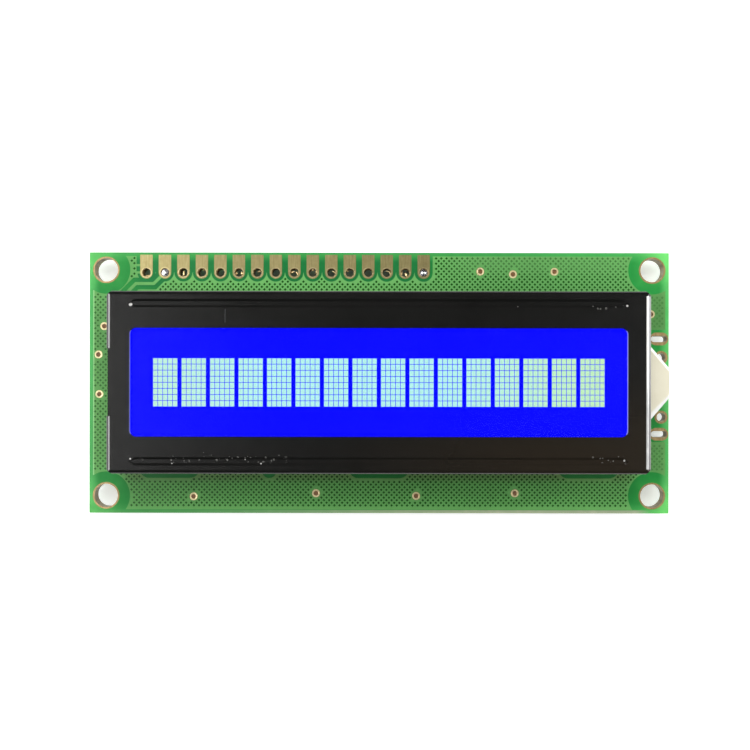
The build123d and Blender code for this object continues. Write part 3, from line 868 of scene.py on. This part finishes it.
def addBarrels():
    low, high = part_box("circuit_board")
    outer = headerValues["holeRadius"] - barrelValues["clearance"]
    inner = outer - barrelValues["wall"]
    profile = [(inner, low.z), (outer, low.z), (outer, high.z), (inner, high.z)]
    points, faces = turned(profile, headerSpots(), headerValues["sides"])
    # the barrels take the darker gold, as painted shade inside the holes
    addPiece("headerBarrels", points, faces, [shadedWallGold], smooth=True)


dress("header_pads", padGold)
for plated in ("mounting_hole_rings", "spare_backlight_slots", "spare_backlight_holes"):
    dress(plated, rimGold)
addBarrels()


# Bezel: black paint on a folded steel sheet, bare steel at its cut edges

bezelValues = {
    "face": paint(17, 17, 16),
    "worn": paint(25, 25, 24),
    "warm": paint(36, 31, 24),
    "warmX": (-12, 26, 0.0, 1.0),
    "warmY": (4, -10, 0.0, 1.0),
    "steel": paint(222, 221, 216),
    "cutLeft": paint(196, 198, 204),
    "cutRight": paint(240, 242, 246),
    "cutBlend": (-10, 10, 0.0, 1.0),
    "dustColour": paint(150, 150, 145),
    "dustCover": 0.5,
    "dustRough": 0.4,
    "lintShare": 0.45,
    "specks": {"Scale": 1500.0, "Size": 0.09, "Cover": 0.012},
    "lint": {"Scale": 3000.0, "Size": 0.4, "Cover": 0.35},
    # left, right, bottom and top of the dusty patches, in mm
    "dusty": [(-31.5, -11.0, -10.5, -9.3), (27.4, 31.9, 9.3, 10.5), (27.4, 31.9, -10.5, -9.4)],
    # place and radius of spots painted as bare steel, in mm: the four at the ends of the beads are painted
    # glints, the other three are chips
    "glintsAndChips": [
        (-32.15, 10.06, 0.22), (32.16, 9.96, 0.14), (-32.15, -9.92, 0.12), (31.85, -10.09, 0.12),
        (-26.8, -10.53, 0.08), (-17.3, -10.0, 0.07), (-15.25, -10.53, 0.10),
    ],
    "scratch": {"place": (-19.91, 8.6), "halfWidth": 0.03, "halfLength": 0.85, "sway": 0.16,
                "depth": 0.26, "breaks": 0.35},
    "bendStart": (34.62, 34.68, 0.0, 1.0),
    "bendEnd": (34.90, 34.98, 1.0, 0.35),
    "bendHalf": 11.2 * mm,
    "bendDrop": 0.5 * mm,
    "bendLower": (-8, 2, 0.0, 1.0),
    "patchy": (0.5, 0.35),
    "shine": 0.4,
    "metallic": 0.3,
    "roughness": (0.12, 0.14),
    "peel": {"Scale": 700.0, "Contrast": 1.0},
    "broadGrain": {"Scale": 120.0, "Contrast": 1.6},
    "bump": (0.12, 0.00003),
}


def dustOnBezel(tree, spot, lint):
    # specks all over, and lint in patches beside the ends of the beads
    specks = useGroup(tree, dust, **bezelValues["specks"])["Mask"]
    for left, right, bottom, top in bezelValues["dusty"]:
        across = gapTo(tree, spot[0], (left + right) / 2 * mm)
        upward = gapTo(tree, spot[1], (bottom + top) / 2 * mm)
        wide, high = right - left, top - bottom
        within = times(
            tree, lint, slide(tree, across, (wide * 0.4, wide * 0.5, 1.0, 0.0)),
            slide(tree, upward, (high * 0.3, high * 0.5, 1.0, 0.0)), bezelValues["lintShare"],
        )
        specks = calc(tree, "MAXIMUM", specks, within)
    return specks


def glintsAndBareSpots(tree, where, spot, peel, lint):
    # painted glints at the ends of the beads, bare chips and a fine scratch, all as bare steel
    bare = 0.0
    flat = addNode(tree, "ShaderNodeVectorMath", {0: where, 1: (1, 1, 0)}, operation="MULTIPLY").outputs[0]
    for x, y, size in bezelValues["glintsAndChips"]:
        feeds = {0: flat, 1: (x * mm, y * mm, 0)}
        away = addNode(tree, "ShaderNodeVectorMath", feeds, operation="DISTANCE").outputs["Value"]
        bare = calc(tree, "MAXIMUM", bare, slide(tree, away, (size * 0.7, size * 1.15, 1.0, 0.0)))
    scratch = bezelValues["scratch"]
    x, y = scratch["place"]
    width, sway = scratch["halfWidth"], scratch["sway"] * mm
    bent = calc(tree, "ADD", spot[0], calc(tree, "MULTIPLY_ADD", peel["Mask"], sway, -sway / 2))
    mark = times(
        tree, slide(tree, gapTo(tree, bent, x * mm), (width, width * 2, scratch["depth"], 0.0)),
        calc(tree, "ADD", lint, scratch["breaks"]),
        calc(tree, "LESS_THAN", gapTo(tree, spot[1], y * mm), scratch["halfLength"] * mm),
    )
    return calc(tree, "MAXIMUM", bare, mark)


def thinPaintAndHighlight(tree, spot, peel):
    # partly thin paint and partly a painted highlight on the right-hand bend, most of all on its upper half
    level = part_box("bezel")[1].z - bezelValues["bendDrop"]
    patchy = calc(tree, "MULTIPLY_ADD", peel["Mask"], *bezelValues["patchy"])
    return times(
        tree, slide(tree, spot[0], bezelValues["bendStart"]), slide(tree, spot[0], bezelValues["bendEnd"]),
        calc(tree, "LESS_THAN", calc(tree, "ABSOLUTE", spot[1]), bezelValues["bendHalf"]),
        calc(tree, "GREATER_THAN", spot[2], level),
        calc(tree, "MAXIMUM", patchy, slide(tree, spot[1], bezelValues["bendLower"])),
    )


def windowEnds(tree, spot):
    # 1 on the window's punched ends, which are bare steel
    _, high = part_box("front_polarizer")
    normal = addNode(tree, "ShaderNodeNewGeometry").outputs["Normal"]
    acrossX = calc(tree, "ABSOLUTE", addNode(tree, "ShaderNodeSeparateXYZ", {0: normal}).outputs[0])
    return times(
        tree, calc(tree, "GREATER_THAN", acrossX, 0.8),
        calc(tree, "LESS_THAN", calc(tree, "ABSOLUTE", spot[0]), high.x),
        calc(tree, "LESS_THAN", calc(tree, "ABSOLUTE", spot[1]), high.y),
    )


def bezelMaterial():
    material, tree, shader = newMaterial("bezelPaint")
    shader.inputs["Specular IOR Level"].default_value = bezelValues["shine"]
    where, spot = place(tree)
    peel = useGroup(tree, grain, **bezelValues["peel"])
    broad = useGroup(tree, grain, **bezelValues["broadGrain"])
    lint = useGroup(tree, dust, **bezelValues["lint"])["Mask"]
    colour = blendColour(tree, broad["Mask"], bezelValues["face"], bezelValues["worn"])
    warm = times(tree, slide(tree, spot[1], bezelValues["warmY"]), slide(tree, spot[0], bezelValues["warmX"]))
    colour = blendColour(tree, warm, colour, bezelValues["warm"])
    specks = dustOnBezel(tree, spot, lint)
    dusted = times(tree, specks, bezelValues["dustCover"])
    colour = blendColour(tree, dusted, colour, bezelValues["dustColour"])
    # spots painted as bare steel: real chips, a scratch and thin paint, with painted highlights at the bead
    # ends and on the right-hand bend
    worn = calc(tree, "MAXIMUM", glintsAndBareSpots(tree, where, spot, peel, lint), thinPaintAndHighlight(tree, spot, peel))
    bare = calc(tree, "MAXIMUM", windowEnds(tree, spot), worn)
    cut = slide(tree, spot[0], bezelValues["cutBlend"])
    cut = blendColour(tree, cut, bezelValues["cutLeft"], bezelValues["cutRight"])
    steel = blendColour(tree, worn, cut, bezelValues["steel"])
    feed(tree, shader, "Base Color", blendColour(tree, bare, colour, steel))
    feed(tree, shader, "Metallic", times(tree, bare, bezelValues["metallic"]))
    rough = calc(tree, "MULTIPLY_ADD", peel["Mask"], *bezelValues["roughness"])
    feed(tree, shader, "Roughness", calc(tree, "MULTIPLY_ADD", specks, bezelValues["dustRough"], rough))
    bumpFrom(tree, shader, peel["Height"], *bezelValues["bump"])
    return material


dress("bezel", bezelMaterial())


# Display: blue liquid crystal behind glass, with the dots lit

displayValues = {
    "blue": (0.0018, 0.0018, 1.0, 1.0),
    "blueStrength": 1.25,
    "unlit": (0.0, 0.0, 0.02, 1.0),
    "middleDot": paint(184, 240, 232),
    "leftDot": paint(196, 240, 216),
    "rightDot": paint(200, 240, 188),
    "leftBlend": (-0.4, -1.0),
    "rightBlend": (0.2, 1.0),
    "uneven": 0.2,
    "dotGrain": {"Scale": 260.0, "Contrast": 1.4},
    "cloud": {"Scale": 50.0, "Contrast": 0.5},
    "dotStrength": 1.08,
    "dotWidth": 0.57 * mm,
    "columns": 5,
    "rows": 8,
    "characters": 16,
    "gap": 0.08 * mm,
    "film": {"tint": paint(20, 24, 90), "hazy": paint(40, 44, 120), "cover": 0.06},
}


def liquidMaterial():
    material, tree, shader = newMaterial("liquidBlue", Roughness=0.3)
    shader.inputs["Specular IOR Level"].default_value = 0.0
    shader.inputs["Base Color"].default_value = displayValues["unlit"]
    cloud = useGroup(tree, grain, **displayValues["cloud"])
    near = [c * 0.96 for c in displayValues["blue"][:3]] + [1.0]
    feed(tree, shader, "Emission Color", blendColour(tree, cloud["Mask"], near, displayValues["blue"]))
    shader.inputs["Emission Strength"].default_value = displayValues["blueStrength"]
    return material


def dotMaterial():
    # the dots shift in colour from left to right
    material, tree, shader = newMaterial("litDot", Roughness=0.3)
    shader.inputs["Specular IOR Level"].default_value = 0.0
    _, spot = place(tree)
    along = calc(tree, "DIVIDE", spot[0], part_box("column_electrodes")[1].x)
    uneven = calc(tree, "SUBTRACT", useGroup(tree, grain, **displayValues["dotGrain"])["Mask"], 0.5)
    along = calc(tree, "MULTIPLY_ADD", uneven, displayValues["uneven"], along)
    left = ramp(tree, along, *displayValues["leftBlend"])
    right = ramp(tree, along, *displayValues["rightBlend"])
    colour = blendColour(tree, left, displayValues["middleDot"], displayValues["leftDot"])
    colour = blendColour(tree, right, colour, displayValues["rightDot"])
    feed(tree, shader, "Emission Color", colour)
    feed(tree, shader, "Base Color", blendColour(tree, 0.9, colour, paint(10, 10, 30)))
    shader.inputs["Emission Strength"].default_value = displayValues["dotStrength"]
    return material


def addDots():
    low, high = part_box("column_electrodes")
    rows, columns, gap = displayValues["rows"], displayValues["columns"], displayValues["gap"]
    tall = (high.y - low.y + gap) / rows - gap
    wide = displayValues["dotWidth"]
    pitch = (high.x - low.x - columns * (wide + gap) + gap) / (displayValues["characters"] - 1)
    points, faces = [], []
    for character in range(displayValues["characters"]):
        for column in range(columns):
            for row in range(rows):
                x = low.x + character * pitch + column * (wide + gap)
                y = low.y + row * (tall + gap)
                addBox(points, faces, (x, x + wide), (y, y + tall), (low.z, high.z))
    dots = addPiece("litDots", points, faces, [dotMaterial()])
    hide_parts("column_electrodes")


def clearFilmMaterial(name, tint, hazy, cover):
    material, tree, shader = newMaterial(name, Roughness=0.08)
    haze = useGroup(tree, grain, Scale=60.0, Contrast=0.8)
    feed(tree, shader, "Base Color", blendColour(tree, haze["Mask"], tint, hazy))
    feed(tree, shader, "Alpha", ramp(tree, haze["Mask"], 0.0, 1.0, cover * 0.8, cover * 1.2))
    return material


dress("liquid_crystal", liquidMaterial())
dress("front_polarizer", clearFilmMaterial("polarizerFilm", **displayValues["film"]))
addDots()
print("display is lit")


# Glass, acrylic and the rear film

glassValues = {
    # the front film is bonded to its glass, so little light turns back between them
    "front_glass": {"name": "frontGlass", "tint": (0.985, 1.0, 0.995, 1.0), "roughness": 0.005, "ior": 1.12},
    "light_guide": {"name": "clearAcrylic", "tint": (0.97, 0.98, 0.98, 1.0), "roughness": 0.05, "ior": 1.49},
    "rear_glass": {"name": "rearGlass", "tint": (0.94, 0.97, 0.96, 1.0), "roughness": 0.02, "ior": 1.5},
    "rear_polarizer": {"name": "rearFilm", "tint": (0.75, 0.78, 0.8, 1.0), "roughness": 0.05, "ior": 1.4},
}


def glassMaterial(name, tint, roughness, ior):
    material, tree, shader = newMaterial(name)
    shader.inputs["Transmission Weight"].default_value = 1.0
    shader.inputs["IOR"].default_value = ior
    haze = useGroup(tree, grain, Scale=40.0, Contrast=0.6)
    clean = [c * 0.985 for c in tint[:3]] + [1.0]
    feed(tree, shader, "Base Color", blendColour(tree, haze["Mask"], tint, clean))
    feed(tree, shader, "Roughness", ramp(tree, haze["Mask"], 0.0, 1.0, roughness * 0.6, roughness))
    return material


for sheet, glass in glassValues.items():
    dress(sheet, glassMaterial(**glass))


# The rest of the solids

plainValues = {
    "creamCase": {"light": paint(236, 231, 208), "dark": paint(226, 220, 195), "roughness": 0.45,
                  "scale": 300.0, "specks": 0.01},
    "whiteFilm": {"light": paint(236, 238, 236), "dark": paint(226, 228, 226), "roughness": 0.5},
    "blackEpoxy": {"light": paint(24, 24, 25), "dark": paint(15, 15, 16), "roughness": 0.35,
                   "scale": 900.0, "bump": 0.4, "specks": 0.03},
    "tinnedLead": {"light": paint(200, 200, 196), "dark": paint(150, 150, 148), "roughness": 0.35,
                   "scale": 1500.0, "metallic": 0.95},
    "solderMetal": {"light": paint(205, 206, 208), "dark": paint(160, 162, 165), "roughness": 0.25,
                    "scale": 1100.0, "metallic": 0.95},
    "connectorRubber": {"light": paint(176, 180, 184), "dark": paint(140, 144, 148), "roughness": 0.7},
    "sealResin": {"light": paint(206, 204, 190), "dark": paint(188, 186, 172), "roughness": 0.5},
    "resistorGlaze": {"light": paint(26, 26, 30), "dark": paint(16, 16, 18), "roughness": 0.2,
                      "scale": 800.0},
    "capacitorCeramic": {"light": paint(160, 122, 82), "dark": paint(138, 102, 66), "roughness": 0.55,
                         "scale": 900.0},
    "lampBody": {"light": paint(240, 236, 200), "dark": paint(230, 222, 180), "roughness": 0.35},
    "rowElectrode": {"light": paint(12, 12, 240), "dark": paint(8, 8, 210), "roughness": 0.3},
    "whitePrint": {"light": paint(232, 234, 228), "dark": paint(206, 210, 200), "roughness": 0.55,
                   "scale": 900.0},
}
finishes = {
    "creamCase": ["backlight_case"],
    "whiteFilm": ["diffuser_film", "reflector_film", "mounting_tape"],
    "blackEpoxy": ["controller_blob", "driver_blob"],
    "tinnedLead": ["led_leads", "resistor_ends", "capacitor_ends"],
    "solderMetal": ["led_solder", "resistor_solder", "capacitor_solder"],
    "connectorRubber": ["zebra_strip_upper", "zebra_strip_lower"],
    "sealResin": ["cell_seal", "fill_port_plug"],
    "resistorGlaze": ["resistor_bodies"],
    "capacitorCeramic": ["capacitor_bodies"],
    "lampBody": ["backlight_led"],
    "rowElectrode": ["row_electrodes"],
}
caseValues = {"highlightColour": paint(252, 252, 248), "slope": (39.9, 40.5, 0.0, 1.0), "below": -1 * mm}


def plainMaterial(name, light, dark, roughness, scale=500.0, metallic=0.0, bump=0.15, specks=0.0):
    material, tree, shader = newMaterial(name, Metallic=metallic)
    mottle = useGroup(tree, grain, Scale=scale, Contrast=1.6)
    colour = blendColour(tree, mottle["Mask"], dark, light)
    if specks:
        spots = useGroup(tree, dust, Scale=700.0, Size=0.12, Cover=specks)["Mask"]
        colour = blendColour(tree, times(tree, spots, 0.4), colour, paint(170, 168, 160))
    feed(tree, shader, "Base Color", colour)
    feed(tree, shader, "Roughness", ramp(tree, mottle["Mask"], 0.2, 0.8, roughness * 0.85, roughness * 1.15))
    bumpFrom(tree, shader, mottle["Height"], bump, 0.00003)
    return material


def paintCaseHighlights(material):
    # painted highlights: whiter where its edges are broken and along the lower slope of the head
    tree = material.node_tree
    shader = next(node for node in tree.nodes if node.type == "BSDF_PRINCIPLED")
    before = shader.inputs["Base Color"].links[0].from_socket
    normal = addNode(tree, "ShaderNodeNewGeometry").outputs["Normal"]
    tilt = addNode(tree, "ShaderNodeSeparateXYZ", {0: normal}).outputs[2]
    broken = times(tree, calc(tree, "GREATER_THAN", tilt, 0.3), calc(tree, "LESS_THAN", tilt, 0.97))
    _, spot = place(tree)
    slopeHighlight = slide(tree, calc(tree, "SUBTRACT", spot[0], spot[1]), caseValues["slope"])
    slopeHighlight = times(tree, slopeHighlight, calc(tree, "LESS_THAN", spot[1], caseValues["below"]))
    caseHighlight = calc(tree, "MAXIMUM", broken, slopeHighlight)
    feed(tree, shader, "Base Color", blendColour(tree, caseHighlight, before, caseValues["highlightColour"]))


plain = {name: plainMaterial(name, **values) for name, values in plainValues.items()}
paintCaseHighlights(plain["creamCase"])
for finish, parts in finishes.items():
    for part in parts:
        dress(part, plain[finish])
print("all solids are dressed")


# Poured epoxy, hole fillings, painted glints in the holes, rear lands and the white print on the rear

domeValues = {"rings": 16, "sides": 64, "wobble": 0.006, "apex": [0.001, 0.004, 0.03]}
fillingValues = {
    "filled": (1, 15),
    "plugSides": 28,
    "beadSides": 12,
    # radius and height of the solder in a filled hole
    "plug": [
        (0.002, 0.55), (0.58, 0.55), (0.58, 1.30), (0.50, 1.46), (0.36, 1.38), (0.20, 1.50), (0.002, 1.52),
    ],
    "beadLevel": 1.34,
    "beadHalf": 0.16,
    "beadLimit": 0.59,
    # beads that stand in for glints on the plated hole walls, a painted reflection: hole, place, half width,
    # half height and turn
    "beads": [
        (0, 0.10, -0.42, 0.36, 0.10, 10), (2, 0.0, -0.10, 0.14, 0.42, 0), (3, 0.26, 0.36, 0.22, 0.07, 30),
        (5, -0.36, -0.10, 0.18, 0.17, 0), (5, 0.38, -0.08, 0.17, 0.22, 0), (6, 0.30, 0.20, 0.30, 0.09, 12),
        (8, -0.24, 0.10, 0.30, 0.12, 20), (8, 0.36, -0.10, 0.10, 0.38, 30), (9, 0.0, 0.40, 0.13, 0.16, 0),
        (9, 0.46, 0.10, 0.08, 0.24, 0), (10, 0.36, 0.08, 0.34, 0.07, -35), (11, -0.36, 0.24, 0.20, 0.08, -8),
        (13, 0.20, 0.18, 0.36, 0.07, -12), (13, 0.48, -0.12, 0.06, 0.26, 0),
        (14, 0.12, -0.24, 0.16, 0.32, 25), (14, -0.46, -0.06, 0.09, 0.28, 0),
    ],
}
rearValues = {
    "landReach": 0.34 * mm,
    "landThickness": 0.045 * mm,
    "sunk": 0.002 * mm,
    "printWidth": 0.15 * mm,
    "printThickness": 0.012 * mm,
    "blobGap": 0.9 * mm,
    "blobSides": 72,
    # left, right, bottom and top of the printed frames, in mm
    "frames": [
        (-5.7, 5.7, -10.2, -6.2), (-29.1, -26.9, -3.1, 0.7), (29.4, 33.7, -7.1, -2.8), (27.9, 32.2, 1.3, 5.6),
    ],
}


def addDome(name, node):
    low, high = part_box(node)
    radius = (high.x - low.x) / 2
    height = high.z - low.z
    rings = domeValues["rings"]
    shares = domeValues["apex"] + [math.sin(math.pi / 2 * k / rings) for k in range(1, rings + 1)]
    profile = [(radius * share, -height * max(0.0, 1 - share ** 2.4) ** 0.75) for share in shares]
    profile.append((radius * 0.001, 0.0))
    middle = ((low.x + high.x) / 2, (low.y + high.y) / 2)
    points, faces = turned(profile, [middle], domeValues["sides"], domeValues["wobble"], seed=len(node))
    dome = addPiece(name, points, faces, [plain["blackEpoxy"]], smooth=True)
    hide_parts(node)


def addHoleFillingsAndGlints():
    spots = headerSpots()
    profile = [(r * mm, z * mm) for r, z in fillingValues["plug"]]
    points, faces = turned(profile, [spots[i] for i in fillingValues["filled"]], fillingValues["plugSides"])
    addPiece("holeSolder", points, faces, [plain["solderMetal"]], smooth=True)
    # then the beads of painted glints, pressed against the hole walls
    points, faces = [], []
    steps = [math.pi * k / 6 for k in range(7)]
    level, half = fillingValues["beadLevel"], fillingValues["beadHalf"]
    ball = [(max(0.01, math.sin(t)), level - half * math.cos(t)) for t in steps]
    for hole, x, y, halfWidth, halfHeight, turn in fillingValues["beads"]:
        more, rings = turned(ball, [(0.0, 0.0)], fillingValues["beadSides"])
        cos, sin = math.cos(math.radians(turn)), math.sin(math.radians(turn))
        faces += [tuple(k + len(points) for k in face) for face in rings]
        for u, v, z in more:
            u, v = u * halfWidth, v * halfHeight
            outX, outY = x + u * cos - v * sin, y + u * sin + v * cos
            tight = min(1.0, fillingValues["beadLimit"] / max(1e-6, math.hypot(outX, outY)))
            points.append((spots[hole][0] + outX * tight * mm, spots[hole][1] + outY * tight * mm, z * mm))
    addPiece("holeGlints", points, faces, [holeGlintGold], smooth=True)


def addRearLands():
    inner = headerValues["holeRadius"]
    outer = inner + rearValues["landReach"]
    drop, sunk = rearValues["landThickness"], rearValues["sunk"]
    ring = [(inner, -drop), (outer - 0.02 * mm, -drop), (outer, -drop * 0.7), (outer, sunk), (inner, sunk)]
    points, faces = turned(ring, headerSpots(), headerValues["sides"])
    addPiece("rearLands", points, faces, [padGold])


def addRearPrint():
    width = rearValues["printWidth"]
    levels = (-rearValues["printThickness"], rearValues["sunk"])
    points, faces = [], []
    for frameBox in rearValues["frames"]:
        left, right, bottom, top = [value * mm for value in frameBox]
        addBox(points, faces, (left, right), (bottom, bottom + width), levels)
        addBox(points, faces, (left, right), (top - width, top), levels)
        addBox(points, faces, (left, left + width), (bottom + width, top - width), levels)
        addBox(points, faces, (right - width, right), (bottom + width, top - width), levels)
    for node in ("controller_blob", "driver_blob"):
        low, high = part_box(node)
        inner = (high.x - low.x) / 2 + rearValues["blobGap"]
        outer = inner + width
        ring = [(inner, levels[0]), (outer, levels[0]), (outer, levels[1]), (inner, levels[1])]
        middle = ((low.x + high.x) / 2, (low.y + high.y) / 2)
        more, rings = turned(ring, [middle], rearValues["blobSides"])
        faces += [tuple(k + len(points) for k in face) for face in rings]
        points += more
    addPiece("rearPrint", points, faces, [plain["whitePrint"]])


addDome("controllerDome", "controller_blob")
addDome("driverDome", "driver_blob")
addHoleFillingsAndGlints()
addRearLands()
addRearPrint()
print("rear face is finished")
